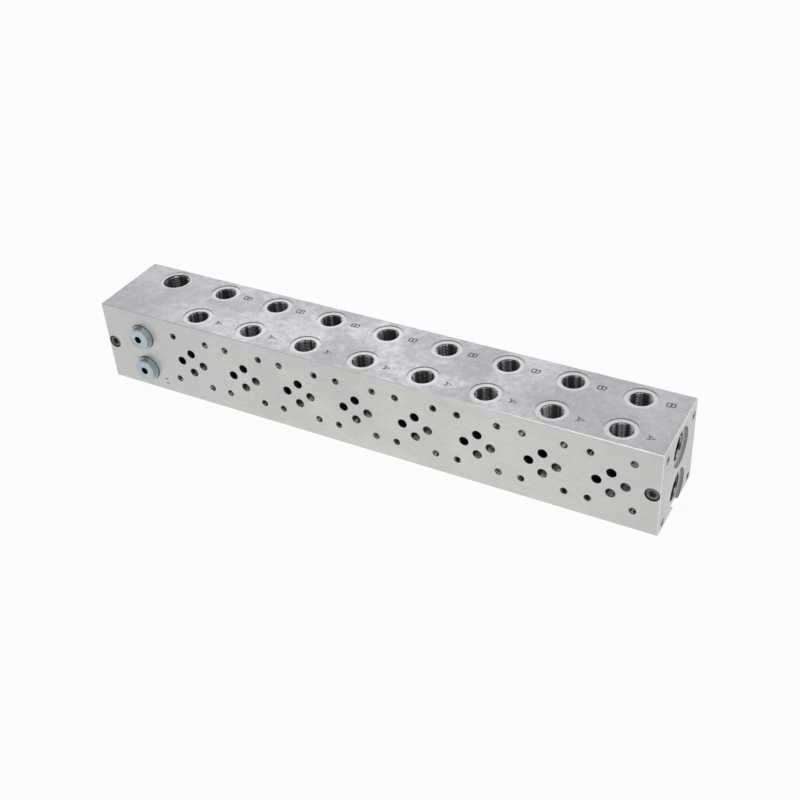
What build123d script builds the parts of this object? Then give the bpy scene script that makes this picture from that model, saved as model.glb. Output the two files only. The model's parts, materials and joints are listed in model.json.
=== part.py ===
"""Eight-station hydraulic manifold block for size 03 directional valves.

A drilled aluminium bar carries eight valve interfaces on its front face. Two galleries run
through it from end to end, P above T. Each station's A and B ports come out of the top, side
by side. Two screw plugs close the gauge drillings beside the first station, and a cap screw
sits in a counterbore near each end.

Frame: millimetres, origin at the centre of the underside, +X to the right along the bar,
+Y from the valve face to the back, +Z up.
"""

import os
from math import cos, hypot, radians, tan

from build123d import *

# Bar
BLOCK_LENGTH = 470.0
BLOCK_DEPTH = 70.0
BLOCK_HEIGHT = 70.0
EDGE_BREAK = 0.4

# Stations along the bar
STATION_COUNT = 8
STATION_PITCH = 50.0
FIRST_STATION_FROM_LEFT = 85.0

# Valve interface on the front face, symmetrical about the station's centre line
UPPER_SCREWS_BELOW_TOP = 13.5
UPPER_SCREW_SPACING = 31.0
LOWER_SCREW_SPACING = 32.5
SCREW_ROW_DISTANCE = 40.5
PORT_A_BELOW_SCREWS = 12.7
PORTS_PT_BELOW_SCREWS = 21.5
PORT_B_BELOW_SCREWS = 30.2
PORTS_PT_SPACING = 20.8
VALVE_PORT_RADIUS = 3.75
VALVE_PORT_DEPTH = 4.0
PASSAGE_RADIUS = 3.5
PASSAGE_START = 2.5

# Threads are plain walls at their root radius, the largest that the tap cuts
MOUTH_CHAMFER = 0.4

# Tapped holes for the valve screws
M5_ROOT_RADIUS = 2.5
M5_THREAD_DEPTH = 12.0

# Galleries
GALLERY_RADIUS = 8.5
GALLERY_BEHIND_FRONT = 38.0
GALLERY_P_HEIGHT = 50.0
GALLERY_T_HEIGHT = 14.0

# End ports, G1/2, one at each end of each gallery
G1_2_ROOT_RADIUS = 10.48
END_PORT_DEPTH = 18.0
END_SPOTFACE_RADIUS = 15.0
END_SPOTFACE_DEPTH = 2.0

# Tapped holes round the end ports, M6
M6_ROOT_RADIUS = 3.0
M6_THREAD_DEPTH = 12.0
END_SCREW_SPACING_Y = 54.5
END_SCREW_SPACING_Z = 54.0
END_SCREWS_BEHIND_FRONT = 37.0
END_SCREWS_HEIGHT = 32.0

# A and B ports on the top, G3/8
G3_8_ROOT_RADIUS = 8.33
TOP_SPOTFACE_RADIUS = 12.0
TOP_SPOTFACE_DEPTH = 0.5
TOP_THREAD_DEPTH = 14.0
PORT_A_BEHIND_FRONT = 16.0
PORT_B_BEHIND_FRONT = 54.0
RISER_RADIUS = 5.0
RISER_A_DEPTH = 33.5
RISER_B_DEPTH = 40.0
PASSAGE_A_DROP = 5.8
PASSAGE_B_RISE = 5.7

# Pressure port on the top, G1/2, beside the gauge plugs
TOP_PORT_FROM_LEFT = 35.0
TOP_PORT_BEHIND_FRONT = 54.3
TOP_PORT_SPOTFACE_RADIUS = 13.0
TOP_PORT_SPOTFACE_DEPTH = 0.3
TOP_PORT_MOUTH_CHAMFER = 0.9
TOP_PORT_THREAD_DEPTH = 13.0
TOP_PORT_BORE_RADIUS = 8.8
TOP_PORT_BORE_DEPTH = 26.0

# Gauge drillings on the front, G1/4, closed by the screw plugs
GAUGE_FROM_LEFT = 37.1
GAUGE_UPPER_HEIGHT = 48.0
GAUGE_LOWER_HEIGHT = 17.9
GAUGE_SPOTFACE_RADIUS = 11.0
GAUGE_SPOTFACE_DEPTH = 0.3
G1_4_ROOT_RADIUS = 6.58
G1_4_THREAD_DEPTH = 14.0
GAUGE_BORE_RADIUS = 4.0

# Screw plug and its bonded seal
PLUG_COLLAR_RADIUS = 9.0
PLUG_COLLAR_THICKNESS = 4.0
PLUG_COLLAR_CHAMFER = 0.8
PLUG_THREAD_LENGTH = 11.0
PLUG_THREAD_CLEARANCE = 0.05
PLUG_NECK_RADIUS = 5.6
PLUG_NECK_LENGTH = 2.0
PLUG_SOCKET_ACROSS_FLATS = 6.0
PLUG_SOCKET_DEPTH = 5.5
SEAL_THICKNESS = 2.0
SEAL_OUTER_RADIUS = 10.3
SEAL_LIP_OUTER_RADIUS = 8.0
SEAL_LIP_INNER_RADIUS = 6.87

# Mounting screws, M6 cap screws in through holes near both ends
MOUNTING_FROM_END = 6.0
MOUNTING_HEIGHT = 35.0
CLEARANCE_HOLE_RADIUS = 3.3
COUNTERBORE_RADIUS = 5.5
SCREW_HEAD_RADIUS = 5.0
SCREW_HEAD_HEIGHT = 6.0
SCREW_HEAD_RECESS = 0.8
SCREW_HEAD_CHAMFER = 0.5
SCREW_SHANK_RADIUS = 3.0
SCREW_SHANK_LENGTH = 60.0
SCREW_SOCKET_ACROSS_FLATS = 5.0
SCREW_SOCKET_DEPTH = 3.0

# Drills and sockets
DRILL_POINT_ANGLE = 118.0
TIP_CHAMFER = 0.8
OVERRUN = 1.0

# Faces and centre lines that follow from the sizes above
LEFT = -BLOCK_LENGTH / 2
FRONT = -BLOCK_DEPTH / 2
GALLERY_Y = FRONT + GALLERY_BEHIND_FRONT
PORT_A_Y = FRONT + PORT_A_BEHIND_FRONT
PORT_B_Y = FRONT + PORT_B_BEHIND_FRONT
UPPER_SCREWS_Z = BLOCK_HEIGHT - UPPER_SCREWS_BELOW_TOP
VALVE_A_Z = UPPER_SCREWS_Z - PORT_A_BELOW_SCREWS
VALVE_PT_Z = UPPER_SCREWS_Z - PORTS_PT_BELOW_SCREWS
VALVE_B_Z = UPPER_SCREWS_Z - PORT_B_BELOW_SCREWS
LOWER_SCREWS_Z = UPPER_SCREWS_Z - SCREW_ROW_DISTANCE
STATIONS = [LEFT + FIRST_STATION_FROM_LEFT + STATION_PITCH * i for i in range(STATION_COUNT)]
GAUGE_X = LEFT + GAUGE_FROM_LEFT
COUNTERBORE_DEPTH = SCREW_HEAD_HEIGHT + SCREW_HEAD_RECESS


def front_plane(x, z):
    """Plane on the valve face at x, z, its normal pointing out of the bar."""
    return Plane(origin=(x, FRONT, z), x_dir=(1, 0, 0), z_dir=(0, -1, 0))


def point_depth(radius):
    """Depth of the cone that a drill leaves below its full diameter."""
    return radius / tan(radians(DRILL_POINT_ANGLE / 2))


def tapped_hole(root_radius, thread_depth):
    """Cutter of a small tapped hole, mouth at the origin, running down -Z to a drill point."""
    mouth_radius = root_radius + MOUTH_CHAMFER
    with BuildPart() as hole:
        with BuildSketch(Plane.XZ):
            with BuildLine():
                Polyline(
                    (0, OVERRUN),
                    (mouth_radius, OVERRUN),
                    (mouth_radius, 0),
                    (root_radius, -MOUTH_CHAMFER),
                    (root_radius, -thread_depth),
                    (0, -thread_depth - point_depth(root_radius)),
                    close=True,
                )
            make_face()
        revolve(axis=Axis.Z)
    return hole.part


def port_hole(spotface, mouth_chamfer, root_radius, thread_depth, bore_radius, bore_depth):
    """Cutter of a port: spotface, chamfered mouth, thread and the drilling beyond it."""
    spotface_radius, spotface_depth = spotface
    step = point_depth(root_radius) - point_depth(bore_radius)
    with BuildPart() as hole:
        with BuildSketch(Plane.XZ):
            with BuildLine():
                Polyline(
                    (0, OVERRUN),
                    (spotface_radius, OVERRUN),
                    (spotface_radius, -spotface_depth),
                    (root_radius + mouth_chamfer, -spotface_depth),
                    (root_radius, -spotface_depth - mouth_chamfer),
                    (root_radius, -thread_depth),
                    (bore_radius, -thread_depth - step),
                    (bore_radius, -bore_depth),
                    (0, -bore_depth - point_depth(bore_radius)),
                    close=True,
                )
            make_face()
        revolve(axis=Axis.Z)
    return hole.part


def passage(y_end, z_start, z_end):
    """Cutter of a slanting passage from a valve port on the front face to a bore inside.

    It lies in the YZ plane and starts a little way in, inside the straight mouth of the port.
    """
    run = y_end - FRONT
    rise = z_end - z_start
    slant = Plane(origin=(0, FRONT, z_start), x_dir=(1, 0, 0), z_dir=(0, run, rise))
    with BuildPart() as drilling:
        with BuildSketch(slant.offset(PASSAGE_START)):
            Circle(PASSAGE_RADIUS)
        extrude(amount=hypot(run, rise) - PASSAGE_START)
    return drilling.part


def hexagon_radius(across_flats):
    """Corner radius of a hexagon from its width across flats."""
    return across_flats / (2 * cos(radians(30)))


# ---- Cutters that the bar repeats ----

valve_screw_hole = tapped_hole(M5_ROOT_RADIUS, M5_THREAD_DEPTH)
end_screw_hole = tapped_hole(M6_ROOT_RADIUS, M6_THREAD_DEPTH)
top_spotface = (TOP_SPOTFACE_RADIUS, TOP_SPOTFACE_DEPTH)
port_a_hole = port_hole(
    top_spotface, MOUTH_CHAMFER, G3_8_ROOT_RADIUS, TOP_THREAD_DEPTH, RISER_RADIUS, RISER_A_DEPTH
)
port_b_hole = port_hole(
    top_spotface, MOUTH_CHAMFER, G3_8_ROOT_RADIUS, TOP_THREAD_DEPTH, RISER_RADIUS, RISER_B_DEPTH
)
top_port_hole = port_hole(
    (TOP_PORT_SPOTFACE_RADIUS, TOP_PORT_SPOTFACE_DEPTH),
    TOP_PORT_MOUTH_CHAMFER,
    G1_2_ROOT_RADIUS,
    TOP_PORT_THREAD_DEPTH,
    TOP_PORT_BORE_RADIUS,
    TOP_PORT_BORE_DEPTH,
)
end_port_hole = port_hole(
    (END_SPOTFACE_RADIUS, END_SPOTFACE_DEPTH),
    MOUTH_CHAMFER,
    G1_2_ROOT_RADIUS,
    END_PORT_DEPTH,
    GALLERY_RADIUS,
    BLOCK_LENGTH / 2,
)
gauge_hole = port_hole(
    (GAUGE_SPOTFACE_RADIUS, GAUGE_SPOTFACE_DEPTH),
    MOUTH_CHAMFER,
    G1_4_ROOT_RADIUS,
    G1_4_THREAD_DEPTH,
    GAUGE_BORE_RADIUS,
    GALLERY_BEHIND_FRONT,
)
passage_a = passage(PORT_A_Y, VALVE_A_Z, VALVE_A_Z - PASSAGE_A_DROP)
passage_b = passage(PORT_B_Y, VALVE_B_Z, VALVE_B_Z + PASSAGE_B_RISE)
passage_p = passage(GALLERY_Y, VALVE_PT_Z, GALLERY_P_HEIGHT)
passage_t = passage(GALLERY_Y, VALVE_PT_Z, GALLERY_T_HEIGHT)

# ---- Manifold block ----

with BuildPart() as manifold_block:
    Box(BLOCK_LENGTH, BLOCK_DEPTH, BLOCK_HEIGHT, align=(Align.CENTER, Align.CENTER, Align.MIN))
    chamfer(manifold_block.edges(), EDGE_BREAK)

    # Galleries, bored from both ends through their G1/2 ports
    for gallery_z in (GALLERY_P_HEIGHT, GALLERY_T_HEIGHT):
        for side in (-1, 1):
            with Locations(
                Plane(
                    origin=(side * BLOCK_LENGTH / 2, GALLERY_Y, gallery_z),
                    x_dir=(0, side, 0),
                    z_dir=(side, 0, 0),
                )
            ):
                add(end_port_hole, mode=Mode.SUBTRACT)

    # Tapped holes at the corners of both ends
    for side in (-1, 1):
        end_plane = Plane(
            origin=(side * BLOCK_LENGTH / 2, FRONT + END_SCREWS_BEHIND_FRONT, END_SCREWS_HEIGHT),
            x_dir=(0, side, 0),
            z_dir=(side, 0, 0),
        )
        with Locations(end_plane):
            with GridLocations(END_SCREW_SPACING_Y, END_SCREW_SPACING_Z, 2, 2):
                add(end_screw_hole, mode=Mode.SUBTRACT)

    # Pressure port on the top
    with Locations(
        (LEFT + TOP_PORT_FROM_LEFT, FRONT + TOP_PORT_BEHIND_FRONT, BLOCK_HEIGHT)
    ):
        add(top_port_hole, mode=Mode.SUBTRACT)

    # Gauge drillings from the front into the galleries
    for gauge_z in (GAUGE_UPPER_HEIGHT, GAUGE_LOWER_HEIGHT):
        with Locations(front_plane(GAUGE_X, gauge_z)):
            add(gauge_hole, mode=Mode.SUBTRACT)

    # Mounting holes, counterbored from the front
    for side in (-1, 1):
        with Locations(
            front_plane(side * (BLOCK_LENGTH / 2 - MOUNTING_FROM_END), MOUNTING_HEIGHT)
        ):
            CounterBoreHole(CLEARANCE_HOLE_RADIUS, COUNTERBORE_RADIUS, COUNTERBORE_DEPTH)

    # The eight stations
    for station_x in STATIONS:
        with Locations((station_x, PORT_A_Y, BLOCK_HEIGHT)):
            add(port_a_hole, mode=Mode.SUBTRACT)
        with Locations((station_x, PORT_B_Y, BLOCK_HEIGHT)):
            add(port_b_hole, mode=Mode.SUBTRACT)
        with Locations(
            *[
                front_plane(station_x + side * spacing / 2, z)
                for spacing, z in (
                    (UPPER_SCREW_SPACING, UPPER_SCREWS_Z),
                    (LOWER_SCREW_SPACING, LOWER_SCREWS_Z),
                )
                for side in (-1, 1)
            ]
        ):
            add(valve_screw_hole, mode=Mode.SUBTRACT)
        for x_offset, z, drilling in (
            (0, VALVE_A_Z, passage_a),
            (0, VALVE_B_Z, passage_b),
            (PORTS_PT_SPACING / 2, VALVE_PT_Z, passage_p),
            (-PORTS_PT_SPACING / 2, VALVE_PT_Z, passage_t),
        ):
            with Locations(front_plane(station_x + x_offset, z)):
                Hole(VALVE_PORT_RADIUS, depth=VALVE_PORT_DEPTH)
            with Locations((station_x + x_offset, 0, 0)):
                add(drilling, mode=Mode.SUBTRACT)

manifold_block.part.label = "manifold_block"

# ---- Screw plugs and bonded seals ----


def screw_plug(plane):
    """Hexagon socket screw plug with a collar, seated on its seal, its axis along the plane's normal."""
    thread_radius = G1_4_ROOT_RADIUS - PLUG_THREAD_CLEARANCE
    face = SEAL_THICKNESS + PLUG_COLLAR_THICKNESS
    with BuildPart() as plug:
        with BuildSketch(Plane(origin=plane.origin, x_dir=plane.x_dir, z_dir=-plane.y_dir)):
            with BuildLine():
                Polyline(
                    (0, face),
                    (PLUG_COLLAR_RADIUS - PLUG_COLLAR_CHAMFER, face),
                    (PLUG_COLLAR_RADIUS, face - PLUG_COLLAR_CHAMFER / 2),
                    (PLUG_COLLAR_RADIUS, SEAL_THICKNESS),
                    (PLUG_NECK_RADIUS, SEAL_THICKNESS),
                    (PLUG_NECK_RADIUS, SEAL_THICKNESS - PLUG_NECK_LENGTH),
                    (thread_radius, SEAL_THICKNESS - PLUG_NECK_LENGTH - TIP_CHAMFER),
                    (thread_radius, SEAL_THICKNESS - PLUG_THREAD_LENGTH + TIP_CHAMFER),
                    (thread_radius - TIP_CHAMFER, SEAL_THICKNESS - PLUG_THREAD_LENGTH),
                    (0, SEAL_THICKNESS - PLUG_THREAD_LENGTH),
                    close=True,
                )
            make_face()
        revolve(axis=Axis(plane.origin, plane.z_dir))
        with BuildSketch(plane.offset(face)):
            RegularPolygon(hexagon_radius(PLUG_SOCKET_ACROSS_FLATS), 6)
        extrude(amount=-PLUG_SOCKET_DEPTH, mode=Mode.SUBTRACT)
    return plug


def seal_ring(plane, outer_radius, inner_radius):
    """Flat ring under a plug's collar."""
    with BuildPart() as ring:
        with BuildSketch(plane):
            Circle(outer_radius)
            Circle(inner_radius, mode=Mode.SUBTRACT)
        extrude(amount=SEAL_THICKNESS)
    return ring


plug_pieces = {}
for place, gauge_z in (("upper", GAUGE_UPPER_HEIGHT), ("lower", GAUGE_LOWER_HEIGHT)):
    seat = front_plane(GAUGE_X, gauge_z).offset(-GAUGE_SPOTFACE_DEPTH)
    plug_pieces[f"screw_plug_{place}"] = screw_plug(seat)
    plug_pieces[f"seal_ring_{place}"] = seal_ring(seat, SEAL_OUTER_RADIUS, SEAL_LIP_OUTER_RADIUS)
    plug_pieces[f"seal_lip_{place}"] = seal_ring(seat, SEAL_LIP_OUTER_RADIUS, SEAL_LIP_INNER_RADIUS)

for name, piece in plug_pieces.items():
    piece.part.label = name

# ---- Mounting screws ----


def mounting_screw(plane):
    """Hexagon socket cap screw, its head seated on the floor of the counterbore."""
    head_top = -SCREW_HEAD_RECESS
    seat = -COUNTERBORE_DEPTH
    with BuildPart() as screw:
        with BuildSketch(plane.offset(seat)):
            Circle(SCREW_HEAD_RADIUS)
        extrude(amount=SCREW_HEAD_HEIGHT)
        chamfer(screw.edges().group_by(Axis(plane.origin, plane.z_dir))[-1], SCREW_HEAD_CHAMFER)
        with BuildSketch(plane.offset(seat)):
            Circle(SCREW_SHANK_RADIUS)
        extrude(amount=-SCREW_SHANK_LENGTH)
        chamfer(screw.edges().group_by(Axis(plane.origin, plane.z_dir))[0], SCREW_HEAD_CHAMFER)
        with BuildSketch(plane.offset(head_top)):
            RegularPolygon(hexagon_radius(SCREW_SOCKET_ACROSS_FLATS), 6)
        extrude(amount=-SCREW_SOCKET_DEPTH, mode=Mode.SUBTRACT)
    return screw


mounting_x = BLOCK_LENGTH / 2 - MOUNTING_FROM_END
mounting_screw_left = mounting_screw(front_plane(-mounting_x, MOUNTING_HEIGHT))
mounting_screw_left.part.label = "mounting_screw_left"
mounting_screw_right = mounting_screw(front_plane(mounting_x, MOUNTING_HEIGHT))
mounting_screw_right.part.label = "mounting_screw_right"

# ---- Export ----

os.makedirs("parts", exist_ok=True)
pieces = [manifold_block, *plug_pieces.values(), mounting_screw_left, mounting_screw_right]
for piece in pieces:
    export_step(piece.part, f"parts/{piece.part.label}.step")
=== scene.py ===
# %% [markdown]
# # A drilled hydraulic manifold block
#
# A manifold block is one bar of aluminium, milled square and then drilled, so that oil can
# run from a pump to several valves without any pipes between them. The shapes of the bar,
# its plugs and its screws come ready made from the CAD model. This lesson dresses them: it
# cuts the look of real threads into the holes, marks the ports, and builds the metals.

# %% Load the frame
import json
from math import cos, pi, radians, sin

import bmesh
import bpy
from mathutils import Matrix, Vector


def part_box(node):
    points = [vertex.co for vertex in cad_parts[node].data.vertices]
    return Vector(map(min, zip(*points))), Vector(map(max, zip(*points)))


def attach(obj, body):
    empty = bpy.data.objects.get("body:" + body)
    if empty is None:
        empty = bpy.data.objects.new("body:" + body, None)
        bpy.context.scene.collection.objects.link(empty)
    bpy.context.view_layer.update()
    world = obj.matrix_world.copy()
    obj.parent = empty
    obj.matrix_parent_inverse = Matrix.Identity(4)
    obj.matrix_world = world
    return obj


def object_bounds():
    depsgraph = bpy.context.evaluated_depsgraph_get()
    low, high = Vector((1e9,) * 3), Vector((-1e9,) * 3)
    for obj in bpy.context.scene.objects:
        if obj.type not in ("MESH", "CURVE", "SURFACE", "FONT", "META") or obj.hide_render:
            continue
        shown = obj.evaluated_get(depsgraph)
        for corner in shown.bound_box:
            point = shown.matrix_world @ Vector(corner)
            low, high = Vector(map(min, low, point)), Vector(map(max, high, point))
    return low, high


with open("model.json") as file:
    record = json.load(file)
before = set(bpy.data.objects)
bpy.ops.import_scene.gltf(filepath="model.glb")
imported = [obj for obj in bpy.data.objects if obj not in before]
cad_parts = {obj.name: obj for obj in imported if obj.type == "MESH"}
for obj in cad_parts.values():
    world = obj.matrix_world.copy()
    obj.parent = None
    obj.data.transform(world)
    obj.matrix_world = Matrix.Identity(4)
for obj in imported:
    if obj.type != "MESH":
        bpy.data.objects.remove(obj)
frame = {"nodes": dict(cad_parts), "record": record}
cad_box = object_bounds()
nodes = frame["nodes"]
mounts = {mount["name"]: mount for mount in frame["record"]["mounts"]}
MM = 0.001
print("CAD box", [[round(v, 4) for v in corner] for corner in cad_box])
print("nodes", sorted(nodes))

# %% [markdown]
# ## The camera
#
# The bar is seen from in front and above, from nearer its right end, and the camera is
# tilted sideways a little. A camera looks down its own -Z axis, so `to_track_quat` turns it
# towards a point, and the tilt is one more turn about that axis. Making the camera first
# means that each later step can be looked at from the right place.

# %% Camera
camera_data = bpy.data.cameras.new("camera")
camera_data.sensor_width = 36.0
camera_data.lens = 54.82
camera_data.clip_start = 0.05
camera = bpy.data.objects.new("camera", camera_data)
bpy.context.scene.collection.objects.link(camera)
camera_place = Vector((403.73, -641.27, 573.09)) * MM
camera_target = Vector((17.05, 1.62, 24.88)) * MM
camera_roll = radians(-4.04)
look = (camera_target - camera_place).to_track_quat("-Z", "Y").to_matrix().to_4x4()
tilt = Matrix.Rotation(camera_roll, 4, "Z")
camera.matrix_world = Matrix.Translation(camera_place) @ look @ tilt
bpy.context.scene.camera = camera
print("camera", [round(v, 3) for v in camera.location], "lens", camera_data.lens)

# %% [markdown]
# ## Node helpers
#
# Every material below is a small graph of nodes, and a few helpers keep the graphs short.
# `add_node` adds any node and sets its values. Three more add the kinds that come up most:
# one step of arithmetic, a mix of two colours and a soft change of range. The last three
# open a node group, open a material, and place a group in it. A group is built once and
# placed in each material that needs the effect, with its own values.


# %% Helpers for node trees
def add_node(tree, kind, settings=None, inputs=None):
    """A new node of that kind, with its settings and its unlinked input values."""
    node = tree.nodes.new(kind)
    for name, value in (settings or {}).items():
        setattr(node, name, value)
    for name, value in (inputs or {}).items():
        node.inputs[name].default_value = value
    return node


def math_node(tree, operation, first, second=None, clamp=False):
    """A Math node on sockets or numbers. Returns its output socket."""
    node = add_node(tree, "ShaderNodeMath", {"operation": operation, "use_clamp": clamp})
    for index, value in enumerate((first, second)):
        if value is None:
            continue
        if isinstance(value, (int, float)):
            node.inputs[index].default_value = value
        else:
            tree.links.new(value, node.inputs[index])
    return node.outputs[0]


def mix_colours(tree, factor, first, second, blend="MIX"):
    """A colour Mix node. Each of its inputs is a socket, a number or a colour."""
    node = add_node(tree, "ShaderNodeMix", {"data_type": "RGBA", "blend_type": blend})
    for index, value in ((0, factor), (6, first), (7, second)):
        if isinstance(value, bpy.types.NodeSocket):
            tree.links.new(value, node.inputs[index])
        else:
            node.inputs[index].default_value = value
    return node.outputs[2]


def smooth_range(tree, value, low, high, to_low=0.0, to_high=1.0):
    """Maps a value from low..high to another range with soft ends."""
    node = add_node(
        tree,
        "ShaderNodeMapRange",
        {"interpolation_type": "SMOOTHSTEP"},
        {"From Min": low, "From Max": high, "To Min": to_low, "To Max": to_high},
    )
    tree.links.new(value, node.inputs["Value"])
    return node.outputs["Result"]


def new_group(name, inputs, outputs):
    """An empty shader node group. Inputs and outputs are (socket type, name, default)."""
    group = bpy.data.node_groups.new(name, "ShaderNodeTree")
    for in_out, sockets in (("INPUT", inputs), ("OUTPUT", outputs)):
        for kind, socket_name, default in sockets:
            socket = group.interface.new_socket(socket_name, in_out=in_out, socket_type=kind)
            if default is not None:
                socket.default_value = default
    return group, group.nodes.new("NodeGroupInput"), group.nodes.new("NodeGroupOutput")


def new_material(name):
    """A material with only a Principled shader. Returns it, its tree and the shader."""
    material = bpy.data.materials.new(name)
    material.use_nodes = True
    tree = material.node_tree
    tree.nodes.clear()
    output = tree.nodes.new("ShaderNodeOutputMaterial")
    shader = tree.nodes.new("ShaderNodeBsdfPrincipled")
    tree.links.new(shader.outputs["BSDF"], output.inputs["Surface"])
    return material, tree, shader


def place_group(tree, group, inputs=None):
    """A node that uses the group, with its own values."""
    node = tree.nodes.new("ShaderNodeGroup")
    node.node_tree = group
    for name, value in (inputs or {}).items():
        node.inputs[name].default_value = value
    return node


# %% [markdown]
# ## Blotches
#
# Bare aluminium is never one even grey. Coolant, fingers and the saw leave soft clouds on
# it, darker and lighter by a few percent. One low noise gives the clouds and a second,
# finer one breaks up their edges. Noise hardly ever reaches 0 or 1, so its middle range is
# spread out to fill them. The group puts out a single mask, so that each metal can use it
# for colour and for roughness alike.

# %% Blotches group
BLOTCH_SOCKETS = [
    ("NodeSocketFloat", "Cloud scale", 14.0),
    ("NodeSocketFloat", "Speck scale", 90.0),
    ("NodeSocketFloat", "Speck share", 0.3),
]
BLOTCH_RESULTS = [("NodeSocketFloat", "Mask", None)]
CLOUD_NOISE = {"Detail": 3.0, "Roughness": 0.55, "Distortion": 0.6}
SPECK_NOISE = {"Detail": 2.0, "Roughness": 0.6}
NOISE_SEEN = (0.34, 0.66)
blotches, group_in, group_out = new_group("blotches", BLOTCH_SOCKETS, BLOTCH_RESULTS)
coordinates = add_node(blotches, "ShaderNodeTexCoord")
clouds = add_node(blotches, "ShaderNodeTexNoise", inputs=CLOUD_NOISE)
specks = add_node(blotches, "ShaderNodeTexNoise", inputs=SPECK_NOISE)
for noise, scale in ((clouds, "Cloud scale"), (specks, "Speck scale")):
    blotches.links.new(coordinates.outputs["Object"], noise.inputs["Vector"])
    blotches.links.new(group_in.outputs[scale], noise.inputs["Scale"])
speck_part = math_node(blotches, "MULTIPLY", specks.outputs[0], group_in.outputs["Speck share"])
cloud_share = math_node(blotches, "SUBTRACT", 1.0, group_in.outputs["Speck share"])
cloud_part = math_node(blotches, "MULTIPLY", clouds.outputs[0], cloud_share)
both = math_node(blotches, "ADD", speck_part, cloud_part)
blotches.links.new(smooth_range(blotches, both, *NOISE_SEEN), group_out.inputs["Mask"])
print("blotches nodes", len(blotches.nodes))

# %% [markdown]
# ## Cutter marks
#
# A milling cutter leaves fine, nearly straight lines along its travel. Noise that is
# stretched many times along one axis looks like them. The stretch is set by a vector
# input, so the same group gives lines along the bar, or a short brushed grain on a screw.
# The larger a part of the vector, the finer the noise along that axis.

# %% Cutter marks group
MARK_SOCKETS = [
    ("NodeSocketVector", "Stretch", (12.0, 900.0, 900.0)),
    ("NodeSocketFloat", "Wander", 0.0),
]
MARK_RESULTS = [("NodeSocketFloat", "Height", None)]
LINE_NOISE = {"Scale": 1.0, "Detail": 3.0, "Roughness": 0.65}
cutter_marks, group_in, group_out = new_group("cutter_marks", MARK_SOCKETS, MARK_RESULTS)
coordinates = add_node(cutter_marks, "ShaderNodeTexCoord")
stretched = add_node(cutter_marks, "ShaderNodeVectorMath", {"operation": "MULTIPLY"})
cutter_marks.links.new(coordinates.outputs["Object"], stretched.inputs[0])
cutter_marks.links.new(group_in.outputs["Stretch"], stretched.inputs[1])
lines = add_node(cutter_marks, "ShaderNodeTexNoise", inputs=LINE_NOISE)
cutter_marks.links.new(stretched.outputs[0], lines.inputs["Vector"])
cutter_marks.links.new(group_in.outputs["Wander"], lines.inputs["Distortion"])
cutter_marks.links.new(lines.outputs[0], group_out.inputs["Height"])
print("cutter marks nodes", len(cutter_marks.nodes))

# %% [markdown]
# ## Edges and depth
#
# Three things about a point on the bar follow from how far it lies inside the bar's box. A
# point that is close to two of its faces at once is on a broken edge, which is a little
# shinier than the flats beside it and takes a lighter colour, partly a painted highlight. A
# point that lies inside at all is past the mouth of a hole, and one that is far from all
# faces is deep down in it, where little light comes: the metal gives both painted shade.
# The group measures how far inside the point lies along each axis, and makes the three
# masks from that. The sum of two such distances is small only near the edge of two faces.


# %% Edges and depth group
def least(tree, first, second, third):
    """The smallest of three values."""
    return math_node(tree, "MINIMUM", math_node(tree, "MINIMUM", first, second), third)


block_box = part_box("manifold_block")
block_centre = [(low + high) / 2 for low, high in zip(*block_box)]
block_half = [(high - low) / 2 for low, high in zip(*block_box)]
EDGE_MARGIN = 1.1
MOUTH_INSET = 0.03 * MM
PLACE_SOCKETS = [
    ("NodeSocketFloat", "Edge width", 0.4 * MM),
    ("NodeSocketFloat", "Dark depth", 7.0 * MM),
]
PLACE_RESULTS = [("NodeSocketFloat", name, None) for name in ("Edge", "Mouth", "Inside")]
block_places, group_in, group_out = new_group("block_places", PLACE_SOCKETS, PLACE_RESULTS)
coordinates = add_node(block_places, "ShaderNodeTexCoord")
axes = add_node(block_places, "ShaderNodeSeparateXYZ")
block_places.links.new(coordinates.outputs["Object"], axes.inputs[0])
inset = []
for axis, centre, half in zip("XYZ", block_centre, block_half):
    from_centre = math_node(block_places, "SUBTRACT", axes.outputs[axis], centre)
    away = math_node(block_places, "ABSOLUTE", from_centre)
    inset.append(math_node(block_places, "SUBTRACT", half, away))
sums = [math_node(block_places, "ADD", inset[a], inset[b]) for a, b in ((0, 1), (1, 2), (0, 2))]
edge_limit = math_node(block_places, "MULTIPLY", group_in.outputs["Edge width"], EDGE_MARGIN)
on_edge = math_node(block_places, "LESS_THAN", least(block_places, *sums), edge_limit)
block_places.links.new(on_edge, group_out.inputs["Edge"])
depth = least(block_places, *inset)
past_mouth = math_node(block_places, "GREATER_THAN", depth, MOUTH_INSET)
block_places.links.new(past_mouth, group_out.inputs["Mouth"])
inside = math_node(block_places, "DIVIDE", depth, group_in.outputs["Dark depth"], clamp=True)
block_places.links.new(inside, group_out.inputs["Inside"])
print("block places nodes", len(block_places.nodes))
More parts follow.
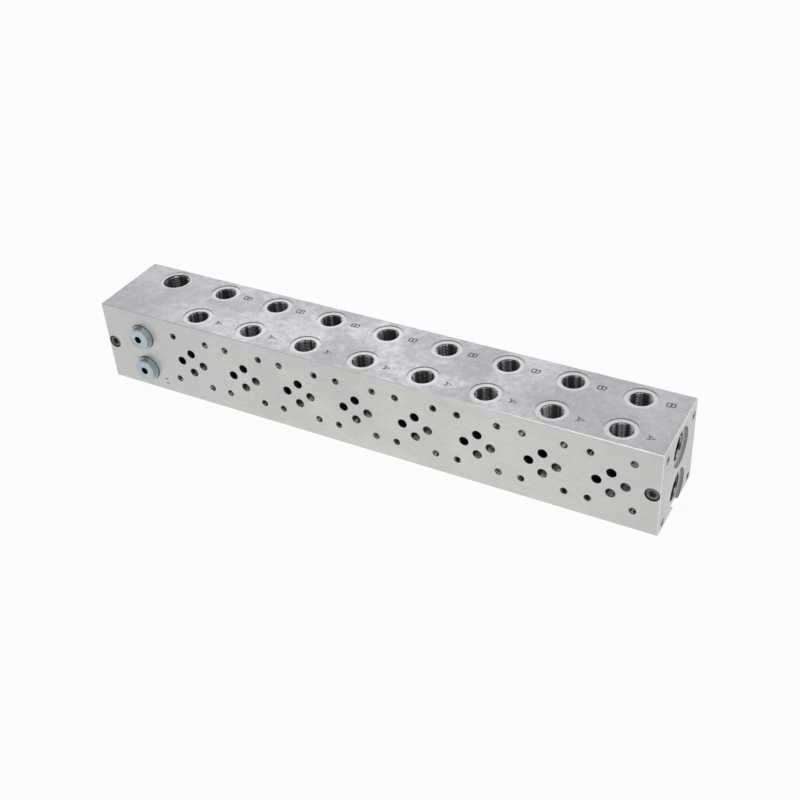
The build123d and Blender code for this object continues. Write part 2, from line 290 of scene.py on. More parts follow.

# %% [markdown]
# ## The milled aluminium
#
# The bar's top is duller and bluer than its front, with soft stains. The floors of the
# spotfaces round the ports were cut last, by a turning tool, so they are clean. Both are
# found from where a point lies and which way its surface faces: the top is where the
# normal points up, and a spotface floor lies a little below the top. The floors of the end
# ports lie a little inside the ends. The drilled walls are painted darker, as painted shade
# that deepens down each hole, and the bar is darker towards its two ends.

# %% Colours and places of the aluminium
TOP_HEIGHT = cad_box[1][2]
SPOTFACE_DROP = (0.15 * MM, 0.9 * MM)
END_FLOOR_INSET = 2.5 * MM
# The bar's colour grows darker towards its two ends.
DARKER_ENDS = (0.07, 0.22)
SQUARE_ON = (0.9, 0.99)
FRONT_COLOUR = (0.69, 0.69, 0.67, 1.0)
FAINT_COLOUR = (0.56, 0.56, 0.55, 1.0)
TOP_COLOUR = (0.66, 0.655, 0.685, 1.0)
STAIN_COLOUR = (0.46, 0.455, 0.475, 1.0)
PITTED_COLOUR = (0.36, 0.36, 0.375, 1.0)
SPOTFACE_COLOUR = (0.64, 0.64, 0.665, 1.0)
# The broken edges are painted lighter than the flats: partly real polish, partly a painted
# highlight.
EDGE_HIGHLIGHT_COLOUR = (0.78, 0.78, 0.785, 1.0)
# Painted shade on the walls of the holes: darker past the mouth, darkest deep down, and a lighter
# shade near the two ends.
END_PORT_SHADE_COLOUR = (0.42, 0.42, 0.43, 1.0)
MOUTH_SHADE_COLOUR = (0.20, 0.20, 0.205, 1.0)
DEEP_SHADE_COLOUR = (0.09, 0.09, 0.09, 1.0)
least_drop, most_drop = (round(drop / MM, 2) for drop in SPOTFACE_DROP)
print("spotface floors lie", least_drop, "to", most_drop, "mm below the top")

# %% [markdown]
# At each valve two of the four oil ports are cut twice: first the straight mouth, then a
# slanting passage to the gallery behind. Their lower walls get a painted highlight, a bright
# colour where light would catch them. The valves repeat along the bar, so a modulo of the
# place along it finds the same two ports at every valve.

# %% Painted highlights on the lower walls
# A painted highlight: a bright colour on the lower walls of two ports at each valve.
WALL_HIGHLIGHT_COLOUR = (0.92, 0.92, 0.91, 1.0)
HIGHLIGHT_DEPTH = 9.0 * MM
VALVE_SPACING = 50.0 * MM
FIRST_VALVE = -150.0 * MM
HIGHLIGHT_PORTS = ((10.4 * MM, 35.0 * MM), (0.0, 26.3 * MM))
PORT_REACH = 4.3 * MM
HIGHLIGHT_START = 0.1 * MM
LOWER_WALL = (0.5, 0.9)
DULLEST_HIGHLIGHT = 0.35


def near(tree, value, centre, reach):
    """A mask that is 1 where the value is within reach of the centre."""
    away = math_node(tree, "ABSOLUTE", math_node(tree, "SUBTRACT", value, centre))
    return math_node(tree, "LESS_THAN", away, reach)


def painted_wall_highlights(tree, place, facing):
    """A mask of the painted highlights on the lower walls of the two slanting ports at each valve.
    """
    from_start = math_node(tree, "SUBTRACT", place.outputs["X"], FIRST_VALVE - VALVE_SPACING / 2)
    turned = math_node(tree, "FLOORED_MODULO", from_start, VALVE_SPACING)
    from_valve = math_node(tree, "SUBTRACT", turned, VALVE_SPACING / 2)
    ports = [
        math_node(
            tree,
            "MULTIPLY",
            near(tree, from_valve, right, PORT_REACH),
            near(tree, place.outputs["Z"], height, PORT_REACH),
        )
        for right, height in HIGHLIGHT_PORTS
    ]
    either = math_node(tree, "MAXIMUM", *ports)
    middle_depth = -block_half[1] + HIGHLIGHT_DEPTH / 2 + HIGHLIGHT_START
    shallow = near(tree, place.outputs["Y"], middle_depth, HIGHLIGHT_DEPTH / 2)
    on_lower_wall = smooth_range(tree, facing.outputs["Z"], *LOWER_WALL)
    highlight_noise = place_group(tree, cutter_marks, {"Stretch": (300.0, 150.0, 300.0), "Wander": 0.5})
    uneven = smooth_range(tree, highlight_noise.outputs[0], 0.4, 0.6, DULLEST_HIGHLIGHT, 1.0)
    bright = math_node(tree, "MULTIPLY", on_lower_wall, uneven)
    return math_node(tree, "MULTIPLY", math_node(tree, "MULTIPLY", either, shallow), bright)


print("two fresh lower walls at every valve,", round(VALVE_SPACING / MM), "mm apart")

# %% [markdown]
# The masks of the top and of the ends come from where a point lies and how it is turned.
# A spotface floor runs on into the slanting chamfer of its port, which the same tool cut,
# so its mask lets in a wider range of normals than the top's.


# %% Masks of the top and the ends
SPOTFACE_LEAN = (0.5, 0.65)


def top_masks(tree, place, facing):
    """Masks of the surfaces that look up, and of the floors of the spotfaces among them."""
    up = smooth_range(tree, facing.outputs["Z"], *SQUARE_ON)
    drop = math_node(tree, "SUBTRACT", TOP_HEIGHT, place.outputs["Z"])
    below_rim = smooth_range(tree, drop, SPOTFACE_DROP[0], SPOTFACE_DROP[0] * 1.2)
    above_bore = smooth_range(tree, drop, SPOTFACE_DROP[1], SPOTFACE_DROP[1] * 1.1, 1.0, 0.0)
    at_floor = math_node(tree, "MULTIPLY", below_rim, above_bore)
    upward = smooth_range(tree, facing.outputs["Z"], *SPOTFACE_LEAN)
    return up, math_node(tree, "MULTIPLY", at_floor, upward)


def end_masks(tree, along, facing):
    """Masks of all that lies near the two ends, and of what looks along the bar there."""
    near_end = math_node(tree, "GREATER_THAN", along, block_half[0] - END_FLOOR_INSET)
    turned = math_node(tree, "ABSOLUTE", facing.outputs["X"])
    endways = smooth_range(tree, turned, *SQUARE_ON)
    return near_end, math_node(tree, "MULTIPLY", endways, near_end)


# %% [markdown]
# The flats take layers of colour, one over the other. The top starts with stains and gets
# scratches and tiny pits. The sides are calmer: faint clouds, with the wipes of a cloth.


# %% Colours of the flats
TOP_CLOUDS = {"Cloud scale": 16.0, "Speck scale": 160.0, "Speck share": 0.35}
TOP_SCRATCHES = {"Stretch": (90.0, 420.0, 420.0), "Wander": 1.2}
TOP_PITS = {"Cloud scale": 420.0, "Speck scale": 1100.0, "Speck share": 0.5}
SIDE_CLOUDS = {"Cloud scale": 9.0, "Speck scale": 60.0, "Speck share": 0.2}
SIDE_WIPES = {"Stretch": (70.0, 300.0, 170.0), "Wander": 1.5}
SCRATCH_STRENGTH, PIT_STRENGTH, WIPE_STRENGTH = 0.45, 0.55, 0.4


def top_colour(tree, clouds, darker_ends):
    """The top's colour: stained by the clouds, scratched and pitted."""
    clean = math_node(tree, "MULTIPLY", clouds, darker_ends)
    stained = mix_colours(tree, clean, STAIN_COLOUR, TOP_COLOUR)
    scratches = place_group(tree, cutter_marks, TOP_SCRATCHES).outputs[0]
    scratched = smooth_range(tree, scratches, 0.40, 0.62, 0.0, SCRATCH_STRENGTH)
    with_scratches = mix_colours(tree, scratched, stained, STAIN_COLOUR)
    pits = place_group(tree, blotches, TOP_PITS).outputs[0]
    pitted = smooth_range(tree, pits, 0.45, 1.0, 0.0, PIT_STRENGTH)
    return mix_colours(tree, pitted, with_scratches, PITTED_COLOUR)


def side_colour(tree, darker_ends):
    """The colour of the front and the other sides: smooth, with faint wipes."""
    faint = place_group(tree, blotches, SIDE_CLOUDS).outputs[0]
    clouds = smooth_range(tree, faint, 0.0, 1.0, 0.55, 1.0)
    clean = math_node(tree, "MULTIPLY", clouds, darker_ends)
    clouded = mix_colours(tree, clean, FAINT_COLOUR, FRONT_COLOUR)
    wipes = place_group(tree, cutter_marks, SIDE_WIPES).outputs[0]
    wiped = smooth_range(tree, wipes, 0.42, 0.66, 0.0, WIPE_STRENGTH)
    return mix_colours(tree, wiped, clouded, FAINT_COLOUR)


# %% [markdown]
# The whole metal puts these together. The painted shade of the hole walls goes over the
# flats, then the painted highlights of the lower walls, the end ports and the spotface
# floors, and the lighter broken edges last, so that nothing darkens them. Where the
# highlight is painted the metal is hardly metallic, so it scatters light instead of
# mirroring only the dark of the hole.


# %% The aluminium itself
END_DARKNESS = 0.5
EDGE_POLISH = -0.18
FLAT_MARKS = {"Stretch": (10.0, 700.0, 700.0), "Wander": 0.3}
FLAT_BUMP = {"Strength": 0.12, "Distance": 0.0004}


def milled_aluminium():
    """Aluminium of the bar: a mottled top, a smooth front and clean spotface floors."""
    material, tree, shader = new_material("milled_aluminium")
    coordinates = add_node(tree, "ShaderNodeTexCoord")
    place = add_node(tree, "ShaderNodeSeparateXYZ")
    tree.links.new(coordinates.outputs["Object"], place.inputs[0])
    geometry = add_node(tree, "ShaderNodeNewGeometry")
    facing = add_node(tree, "ShaderNodeSeparateXYZ")
    tree.links.new(geometry.outputs["True Normal"], facing.inputs[0])
    along = math_node(tree, "ABSOLUTE", place.outputs["X"])

    clouds = place_group(tree, blotches, TOP_CLOUDS).outputs[0]
    darker_ends = smooth_range(tree, along, DARKER_ENDS[0], DARKER_ENDS[1], 1.0, END_DARKNESS)
    up, spotface = top_masks(tree, place, facing)
    near_end, end_floor = end_masks(tree, along, facing)
    side = side_colour(tree, darker_ends)
    flats = mix_colours(tree, up, side, top_colour(tree, clouds, darker_ends))

    # Painted shade on the walls of every hole, deeper further in.
    places = place_group(tree, block_places)
    wall_shade = mix_colours(tree, places.outputs["Inside"], MOUTH_SHADE_COLOUR, DEEP_SHADE_COLOUR)
    colour = mix_colours(tree, places.outputs["Mouth"], flats, wall_shade)
    # Painted highlight on the lower walls of the slanting ports.
    highlit = painted_wall_highlights(tree, place, facing)
    colour = mix_colours(tree, highlit, colour, WALL_HIGHLIGHT_COLOUR)
    end_wall_shade = math_node(tree, "MULTIPLY", near_end, places.outputs["Mouth"])
    colour = mix_colours(tree, end_wall_shade, colour, END_PORT_SHADE_COLOUR)
    colour = mix_colours(tree, end_floor, colour, side)
    colour = mix_colours(tree, spotface, colour, SPOTFACE_COLOUR)
    # Lighter broken edges, partly a painted highlight.
    colour = mix_colours(tree, places.outputs["Edge"], colour, EDGE_HIGHLIGHT_COLOUR)
    tree.links.new(colour, shader.inputs["Base Color"])

    roughness = smooth_range(tree, clouds, 0.0, 1.0, 0.50, 0.38)
    edge_polish = math_node(tree, "MULTIPLY", places.outputs["Edge"], EDGE_POLISH)
    tree.links.new(math_node(tree, "ADD", roughness, edge_polish), shader.inputs["Roughness"])
    marks = place_group(tree, cutter_marks, FLAT_MARKS)
    bump = add_node(tree, "ShaderNodeBump", inputs=FLAT_BUMP)
    tree.links.new(marks.outputs[0], bump.inputs["Height"])
    tree.links.new(bump.outputs[0], shader.inputs["Normal"])
    tree.links.new(smooth_range(tree, highlit, 0.0, 1.0, 0.85, 0.1), shader.inputs["Metallic"])
    return material


aluminium = milled_aluminium()
print(aluminium.name, "nodes", len(aluminium.node_tree.nodes))

# %% [markdown]
# ## Plated and blackened steel
#
# The screw plugs and the rings of their seals are zinc plated, a pale metal with a blue
# cast and a soft shine. The two cap screws are black oxide: almost black, with the light
# caught only on their edges. Both take the same two groups as the aluminium, with
# other values, and the rubber lips are a plain dull black with a little grain.
#
# Hardly any light gets down into the hexagon socket of a plug. So inside a small box round
# the plug's axis, from just behind its face, the zinc takes a dark colour.


# %% Steels and rubber
SOCKET_COLOUR = (0.03, 0.03, 0.035, 1.0)
SOCKET_REACH = 3.5 * MM
SOCKET_START = 0.3 * MM
STEEL_CLOUDS = {"Cloud scale": 120.0, "Speck scale": 900.0, "Speck share": 0.4}
STEEL_GRAIN = {"Stretch": (2500.0, 900.0, 2500.0), "Wander": 0.2}
GRAIN_DEPTH = 0.0002


def plain_metal(name, light, dark, metallic, roughness, bump_strength, sockets=()):
    """A metal with faint blotches of two colours, a fine grain and, if any, dark sockets."""
    material, tree, shader = new_material(name)
    clouds = place_group(tree, blotches, STEEL_CLOUDS)
    colour = mix_colours(tree, clouds.outputs[0], dark, light)
    for centre_x, centre_z, reach, floor_y in sockets:
        place = add_node(tree, "ShaderNodeSeparateXYZ")
        tree.links.new(add_node(tree, "ShaderNodeTexCoord").outputs["Object"], place.inputs[0])
        across = near(tree, place.outputs["X"], centre_x, reach)
        upright = near(tree, place.outputs["Z"], centre_z, reach)
        deep = math_node(tree, "GREATER_THAN", place.outputs["Y"], floor_y)
        inside = math_node(tree, "MULTIPLY", math_node(tree, "MULTIPLY", across, upright), deep)
        colour = mix_colours(tree, inside, colour, SOCKET_COLOUR)
    tree.links.new(colour, shader.inputs["Base Color"])
    rough = smooth_range(tree, clouds.outputs[0], 0.0, 1.0, roughness + 0.06, roughness - 0.04)
    tree.links.new(rough, shader.inputs["Roughness"])
    grain = place_group(tree, cutter_marks, STEEL_GRAIN)
    bump_settings = {"Strength": bump_strength, "Distance": GRAIN_DEPTH}
    bump = add_node(tree, "ShaderNodeBump", inputs=bump_settings)
    tree.links.new(grain.outputs[0], bump.inputs["Height"])
    tree.links.new(bump.outputs[0], shader.inputs["Normal"])
    shader.inputs["Metallic"].default_value = metallic
    return material


plug_boxes = [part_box(name) for name in sorted(nodes) if name.startswith("screw_plug")]
plug_sockets = [
    ((low.x + high.x) / 2, (low.z + high.z) / 2, SOCKET_REACH, low.y + SOCKET_START)
    for low, high in ((Vector(low), Vector(high)) for low, high in plug_boxes)
]
zinc = plain_metal(
    "zinc_plate",
    light=(0.51, 0.57, 0.60, 1.0),
    dark=(0.38, 0.44, 0.48, 1.0),
    metallic=0.9,
    roughness=0.30,
    bump_strength=0.1,
    sockets=plug_sockets,
)
black_oxide = plain_metal(
    "black_oxide",
    light=(0.19, 0.19, 0.18, 1.0),
    dark=(0.10, 0.10, 0.095, 1.0),
    metallic=0.6,
    roughness=0.38,
    bump_strength=0.1,
)
rubber = plain_metal(
    "seal_rubber",
    light=(0.035, 0.035, 0.035, 1.0),
    dark=(0.02, 0.02, 0.02, 1.0),
    metallic=0.0,
    roughness=0.6,
    bump_strength=0.2,
)
print("dark sockets", len(plug_sockets), "in", zinc.name, "beside", black_oxide.name, rubber.name)

# %% [markdown]
# ## Painted glints in a thread
#
# Light runs across the turns of a thread in a few bright streaks along the hole's axis,
# with dark between them. Both are painted: the streaks are painted highlights and the dark
# between them is painted shade. The streaks are the cutter marks once more, stretched along
# the axis this time, so the holes that run up, along and across the bar each get a material
# of their own.


# %% Thread metals
GLINTS_SEEN = (0.47, 0.62)


def threaded_wall(name, stretch, light, dark):
    """Dark metal, a painted shade, with painted highlights as streaks along the axis of a tapped
    hole.
    """
    material, tree, shader = new_material(name)
    glint_noise = place_group(tree, cutter_marks, {"Stretch": stretch, "Wander": 0.0})
    bright = smooth_range(tree, glint_noise.outputs[0], *GLINTS_SEEN)
    tree.links.new(mix_colours(tree, bright, dark, light), shader.inputs["Base Color"])
    tree.links.new(smooth_range(tree, bright, 0.0, 1.0, 0.5, 0.3), shader.inputs["Roughness"])
    shader.inputs["Metallic"].default_value = 0.9
    return material


# In each thread the light colour is a painted highlight and the dark colour is painted shade.
PORT_GLINT_AND_SHADE = {"light": (0.50, 0.50, 0.49, 1.0), "dark": (0.07, 0.07, 0.07, 1.0)}
VALVE_GLINT_AND_SHADE = {"light": (0.55, 0.55, 0.54, 1.0), "dark": (0.03, 0.03, 0.03, 1.0)}
upright_thread = threaded_wall("upright_thread", (330.0, 330.0, 8.0), **PORT_GLINT_AND_SHADE)
endways_thread = threaded_wall("endways_thread", (8.0, 260.0, 260.0), **PORT_GLINT_AND_SHADE)
front_thread = threaded_wall("front_thread", (560.0, 10.0, 560.0), **VALVE_GLINT_AND_SHADE)
print("materials", [material.name for material in bpy.data.materials])

# %% [markdown]
# A CAD node keeps its mesh and only gets a better material, put into its material slots.

# %% Dress the CAD nodes
FINISHES = {
    "manifold": aluminium,
    "screw_plug": zinc,
    "seal_ring": zinc,
    "seal_lip": rubber,
    "mounting": black_oxide,
}
for node_name, piece in nodes.items():
    finish = next(material for start, material in FINISHES.items() if node_name.startswith(start))
    piece.data.materials.clear()
    piece.data.materials.append(finish)
    print(node_name, finish.name)

# %% [markdown]
# ## Threads
#
# In the CAD model a tapped hole is a plain wall at the thread's root. What is missing is
# the ridge that winds down it. A ridge is one small face, its wide side on the wall and
# its narrow side towards the axis, spun about the axis with a little drop at each step:
# `bmesh.ops.spin` does both at once, with `dvec` as the drop. The coil is made once for
# each thread size and then copied into every hole of that size. All sizes share one shape
# of ridge, so its height and its half widths are given as parts of the pitch. Its foot is
# sunk a little into the wall, so that no gap shows between the two.


# %% A coil of thread
RIDGE_HEIGHT = 0.61
RIDGE_HALF_FOOT = 0.47
RIDGE_HALF_CREST = 0.07
FOOT_SUNK = 0.04 * MM


def thread_coil(root_radius, pitch, length, steps_per_turn):
    """A bmesh of one thread ridge that winds down -Z from z = 0 on a wall of that radius."""
    foot = root_radius + FOOT_SUNK
    crest = root_radius - RIDGE_HEIGHT * pitch
    coil = bmesh.new()
    corners = [
        (foot, 0, RIDGE_HALF_FOOT * pitch),
        (crest, 0, RIDGE_HALF_CREST * pitch),
        (crest, 0, -RIDGE_HALF_CREST * pitch),
        (foot, 0, -RIDGE_HALF_FOOT * pitch),
    ]
    profile = coil.faces.new([coil.verts.new(corner) for corner in corners])
    turns = (length - pitch) / pitch
    steps = round(turns * steps_per_turn)
    bmesh.ops.spin(
        coil,
        geom=[profile, *profile.edges, *profile.verts],
        cent=(0, 0, 0),
        axis=(0, 0, 1),
        dvec=(0, 0, -pitch * turns / steps),
        angle=2 * pi * turns,
        steps=steps,
        use_merge=False,
    )
    bmesh.ops.translate(coil, verts=coil.verts, vec=(0, 0, -pitch / 2))
    boundary = [edge for edge in coil.edges if edge.is_boundary]
    bmesh.ops.holes_fill(coil, edges=boundary, sides=4)
    bmesh.ops.recalc_face_normals(coil, faces=coil.faces)
    return coil


def fill_holes(name, coil, holes, material):
    """One piece with a copy of the coil in each hole, given as (mouth point, axis)."""
    template = bpy.data.meshes.new(f"{name}_template")
    coil.to_mesh(template)
    coil.free()
    together = bmesh.new()
    for mouth, axis in holes:
        before = len(together.verts)
        together.from_mesh(template)
        together.verts.ensure_lookup_table()
        turn = Vector((0, 0, 1)).rotation_difference(Vector(axis)).to_matrix().to_4x4()
        place = Matrix.Translation(mouth) @ turn
        bmesh.ops.transform(together, matrix=place, verts=together.verts[before:])
    bpy.data.meshes.remove(template)
    new_piece(name, together, material)


def new_piece(name, shape, material):
    """Turns a bmesh into a piece of the object that rides on its one body."""
    mesh = bpy.data.meshes.new(name)
    shape.to_mesh(mesh)
    shape.free()
    mesh.materials.append(material)
    piece = bpy.data.objects.new(name, mesh)
    bpy.context.scene.collection.objects.link(piece)
    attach(piece, "root")
    print(name, "triangles", sum(len(face.vertices) - 2 for face in mesh.polygons))


# %% [markdown]
# The record says where each threaded hole is, how wide its wall is and how long. Its point
# lies on the axis, somewhere inside the wall, so the mouth is found from the face that the
# hole opens into, less the spotface and the chamfer.
#
# A thread size is its pitch, and the number of steps that make one turn of its coil. Wide
# threads get more steps, so that all of them look equally round.


# %% Threads of the ports and of the end screws
def hole_mouth(mount, below_face):
    """The top of a hole's thread: on its axis, that far below the face it opens into."""
    axis = Vector(mount["axis"])
    point = Vector(mount["pos_m"])
    corner = Vector([high if part > 0 else low for part, low, high in zip(axis, *block_box)])
    return point + axis * ((corner - point).dot(axis) - below_face), axis


PIPE_3_8 = (1.337 * MM, 32)
PIPE_1_2 = (1.814 * MM, 40)
SCREW_M6 = (1.0 * MM, 20)
SCREW_M5 = (0.8 * MM, 16)
AB_PORT_START = 0.9 * MM
PRESSURE_PORT_START = 1.2 * MM
END_PORT_START = 2.4 * MM
SCREW_HOLE_START = 0.4 * MM


def threads_for(name, prefixes, below_face, thread_size, metal):
    """Threads in every threaded hole whose mount's name starts with one of the prefixes."""
    chosen = [mount for key, mount in mounts.items() if key.startswith(prefixes)]
    root_radius = chosen[0]["dims"]["r_mm"] * MM
    length = chosen[0]["dims"]["length_mm"] * MM
    pitch, steps_per_turn = thread_size
    coil = thread_coil(root_radius, pitch, length, steps_per_turn)
    holes = [hole_mouth(mount, below_face) for mount in chosen]
    fill_holes(name, coil, holes, metal)


AB_PORTS, END_PORTS = ("port_a_", "port_b_"), ("port_left", "port_right")
threads_for("top_port_threads", AB_PORTS, AB_PORT_START, PIPE_3_8, upright_thread)
threads_for("pressure_port_thread", ("port_top",), PRESSURE_PORT_START, PIPE_1_2, upright_thread)
threads_for("end_port_threads", END_PORTS, END_PORT_START, PIPE_1_2, endways_thread)
threads_for("end_screw_threads", ("end_screw_",), SCREW_HOLE_START, SCREW_M6, endways_thread)

# %% [markdown]
# The valve screw holes are stated as pairs: a centre and the distance between the two.
# Half that distance to each side gives the holes. Only the first few turns can be seen, so
# the coil stops there.

# %% Threads of the valve screw holes
VALVE_SCREW_ROOT = 2.5 * MM
VALVE_THREAD_SEEN = 8.0 * MM
valve_holes = []
for key, mount in mounts.items():
    if key.startswith("valve_"):
        centre, axis = Vector(mount["pos_m"]), Vector(mount["axis"])
        half = Vector((mount["dims"]["spacing_x_mm"] * MM / 2, 0, 0))
        face = Vector((0, block_box[0][1] + SCREW_HOLE_START - centre.y, 0))
        valve_holes += [(centre + face - half, axis), (centre + face + half, axis)]
valve_pitch, valve_steps = SCREW_M5
valve_coil = thread_coil(VALVE_SCREW_ROOT, valve_pitch, VALVE_THREAD_SEEN, valve_steps)
fill_holes("valve_screw_threads", valve_coil, valve_holes, front_thread)

# %% [markdown]
# ## Port letters
#
# The ports are marked A and B with thin strokes, scribed by an engraving cutter. The
# letters stand on their side, so that they read from the right end of the bar. Each stroke
# is a shallow dark bead: a curve with a round bevel becomes a mesh, which is pressed almost
# flat and laid on the surface.


# %% Letter strokes
LETTER_HEIGHT = 5.8 * MM
LETTER_WIDTH = 4.3 * MM
STROKE_RADIUS = 0.5 * MM
STROKE_RISE = 0.03 * MM
LETTER_OFFSETS = {"A": (21.3 * MM, -1.7 * MM), "B": (21.3 * MM, 0.2 * MM)}
ARC_STEPS = 8


def bowl(bottom, top, bulge):
    """A half oval from the spine of a B, out to the bulge and back."""
    middle, half = (bottom + top) / 2, (top - bottom) / 2
    flat = bulge - half
    turn = [pi * step / ARC_STEPS - pi / 2 for step in range(ARC_STEPS + 1)]
    arc = [(flat + half * cos(angle), middle + half * sin(angle)) for angle in turn]
    return [(0, bottom), *arc, (0, top)]


LETTERS = {
    "A": [[(0, 0), (0.5, 1), (1, 0)], [(0.14, 0.28), (0.86, 0.28)]],
    "B": [[(0, 0), (0, 1)], bowl(0, 0.52, 1.0), bowl(0.52, 1.0, 0.92)],
}


def scribed_strokes(strokes):
    """A mesh of round strokes with capped ends, in metres, centred on the origin."""
    curve = bpy.data.curves.new("strokes", "CURVE")
    curve.dimensions = "3D"
    curve.bevel_depth = STROKE_RADIUS
    curve.bevel_resolution = 2
    curve.use_fill_caps = True
    for stroke in strokes:
        spline = curve.splines.new("POLY")
        spline.points.add(len(stroke) - 1)
        for point, (right, up) in zip(spline.points, stroke):
            point.co = ((right - 0.5) * LETTER_WIDTH, (up - 0.5) * LETTER_HEIGHT, 0, 1)
    holder = bpy.data.objects.new("strokes", curve)
    mesh = bpy.data.meshes.new_from_object(holder)
    bpy.data.objects.remove(holder)
    bpy.data.curves.remove(curve)
    return mesh


def scribe(name, places, material):
    """One piece with the strokes of each (strokes, matrix), pressed flat and put in place."""
    together = bmesh.new()
    flatten = Matrix.Diagonal((1, 1, STROKE_RISE / STROKE_RADIUS, 1))
    for strokes, place in places:
        mesh = scribed_strokes(strokes)
        before = len(together.verts)
        together.from_mesh(mesh)
        together.verts.ensure_lookup_table()
        bmesh.ops.transform(together, matrix=place @ flatten, verts=together.verts[before:])
        bpy.data.meshes.remove(mesh)
    new_piece(name, together, material)


scribed = plain_metal(
    "scribed_metal",
    light=(0.14, 0.14, 0.145, 1.0),
    dark=(0.08, 0.08, 0.085, 1.0),
    metallic=0.5,
    roughness=0.5,
    bump_strength=0.1,
)
top_level = block_box[1][2]
on_side = Matrix.Rotation(-pi / 2, 4, "Z")
port_letters = []
for key, mount in mounts.items():
    if key.startswith(("port_a_", "port_b_")):
        letter = key[5].upper()
        x, y, _ = mount["pos_m"]
        right, back = LETTER_OFFSETS[letter]
        place = Matrix.Translation((x + right, y + back, top_level)) @ on_side
        port_letters.append((LETTERS[letter], place))
scribe("port_letters", port_letters, scribed)

# %% [markdown]
# Low on the front, between the lower plug and the first valve, there are two short marks,
# one above the other. They are the same strokes, each a single line.

# %% Front marks
MARK_LENGTH = 2.8 * MM
MARK_CENTRES = ((-181.0 * MM, 11.2 * MM), (-180.2 * MM, 7.3 * MM))
front_level = block_box[0][1]
stood_up = Matrix.Rotation(pi / 2, 4, "X")
half_line = MARK_LENGTH / LETTER_WIDTH / 2
line = [[(0.5 - half_line, 0.5), (0.5 + half_line, 0.5)]]
front_marks = [(line, Matrix.Translation((x, front_level, z)) @ stood_up) for x, z in MARK_CENTRES]
scribe("front_marks", front_marks, scribed)

# %% [markdown]
# ## Floor, light and background
#
# The block stands on a white floor in a white room. The floor has to look as white as the
# room and still take the soft shadow of the block. So for the camera, and for metal that
# mirrors the floor, most of its colour is a plain glow, and the rest is the lit surface.


# %% Floor
WHITE = (1, 1, 1, 1)
FLOOR_REACH = 6.0
FLOOR_COLOUR = (0.93, 0.93, 0.93, 1.0)
GLOW_SHARE = 0.94


def seen_directly(tree):
    """A light path node, and a mask of the rays from the camera and from reflections."""
    rays = add_node(tree, "ShaderNodeLightPath")
    camera_ray, glossy_ray = rays.outputs["Is Camera Ray"], rays.outputs["Is Glossy Ray"]
    return rays, math_node(tree, "MAXIMUM", camera_ray, glossy_ray)


floor_shape = bmesh.new()
bmesh.ops.create_grid(floor_shape, x_segments=2, y_segments=2, size=FLOOR_REACH)
floor_mesh = bpy.data.meshes.new("floor")
floor_shape.to_mesh(floor_mesh)
floor_shape.free()
floor = bpy.data.objects.new("floor", floor_mesh)
bpy.context.scene.collection.objects.link(floor)
floor_material, floor_tree, floor_shader = new_material("pale_floor")
floor_shader.inputs["Base Color"].default_value = FLOOR_COLOUR
floor_shader.inputs["Roughness"].default_value = 0.9
floor_shader.inputs["Specular IOR Level"].default_value = 0.1
floor_glow = add_node(floor_tree, "ShaderNodeEmission", inputs={"Color": WHITE, "Strength": 1.0})
_, floor_seen = seen_directly(floor_tree)
floor_mix = add_node(floor_tree, "ShaderNodeMixShader")
glow_part = math_node(floor_tree, "MULTIPLY", floor_seen, GLOW_SHARE)
floor_tree.links.new(glow_part, floor_mix.inputs[0])
floor_tree.links.new(floor_shader.outputs[0], floor_mix.inputs[1])
floor_tree.links.new(floor_glow.outputs[0], floor_mix.inputs[2])
floor_output = next(node for node in floor_tree.nodes if node.type == "OUTPUT_MATERIAL")
floor_tree.links.new(floor_mix.outputs[0], floor_output.inputs["Surface"])
floor_mesh.materials.append(floor_material)
print(floor.name, "reaches", FLOOR_REACH, "m, glow share", GLOW_SHARE)

# %% [markdown]
# The room gives most of the light. A large lamp above and behind puts a sheen on the top,
# and a smaller one high in front draws the bright line along the front's upper edge.


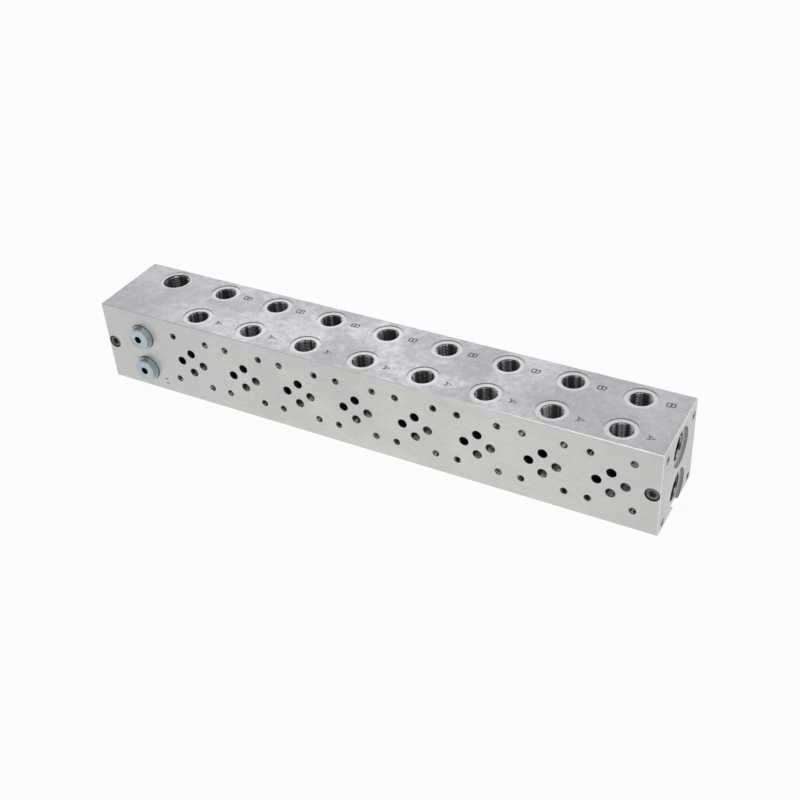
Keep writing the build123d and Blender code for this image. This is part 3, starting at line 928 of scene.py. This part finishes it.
# %% Lamps
def area_lamp(name, place, target, size, power):
    """A square soft lamp that shines from place to target."""
    data = bpy.data.lights.new(name, "AREA")
    data.size = size
    data.energy = power
    lamp = bpy.data.objects.new(name, data)
    bpy.context.scene.collection.objects.link(lamp)
    direction = Vector(target) - Vector(place)
    turn = direction.to_track_quat("-Z", "Y").to_matrix().to_4x4()
    lamp.matrix_world = Matrix.Translation(place) @ turn
    print(name, power, "W")


area_lamp("edge_light", place=(-0.16, -1.02, 1.26), target=(0.2, 0, 0.07), size=0.45, power=0.8)
area_lamp("top_sheen", place=(-0.95, 1.45, 1.20), target=(0, 0, 0.07), size=0.8, power=1.5)

# %% [markdown]
# A studio has a dark card somewhere, so that metal edges don't melt into the white. Here
# it hangs high at the front left: the world is darker in that direction, for reflections
# only. The dot product with the direction of the card says how near to it a ray points.
# Where the camera looks past the object it sees plain white.

# %% World
DARK_CARD = (-0.72, -0.44, 0.54)
CARD_EDGE = (0.80, 0.93)
CARD_BRIGHTNESS = 0.35
AMBIENT_STRENGTH = 0.55
world = bpy.data.worlds.new("studio")
world.use_nodes = True
bpy.context.scene.world = world
tree = world.node_tree
tree.nodes.clear()
output = tree.nodes.new("ShaderNodeOutputWorld")
ambient_light = {"Color": WHITE, "Strength": AMBIENT_STRENGTH}
ambient = add_node(tree, "ShaderNodeBackground", inputs=ambient_light)
white = add_node(tree, "ShaderNodeBackground", inputs={"Color": WHITE})
direction = add_node(tree, "ShaderNodeTexCoord")
towards_card = add_node(tree, "ShaderNodeVectorMath", {"operation": "DOT_PRODUCT"})
tree.links.new(direction.outputs["Generated"], towards_card.inputs[0])
towards_card.inputs[1].default_value = DARK_CARD
card = smooth_range(tree, towards_card.outputs["Value"], *CARD_EDGE, 1.0, CARD_BRIGHTNESS)
rays, seen = seen_directly(tree)
brightness = math_node(tree, "MAXIMUM", card, rays.outputs["Is Camera Ray"])
tree.links.new(brightness, white.inputs["Strength"])
mix = add_node(tree, "ShaderNodeMixShader")
tree.links.new(seen, mix.inputs[0])
tree.links.new(ambient.outputs[0], mix.inputs[1])
tree.links.new(white.outputs[0], mix.inputs[2])
tree.links.new(mix.outputs[0], output.inputs["Surface"])
bpy.context.scene.view_settings.view_transform = "Standard"
print(world.name, "nodes", len(tree.nodes), "card brightness", CARD_BRIGHTNESS)
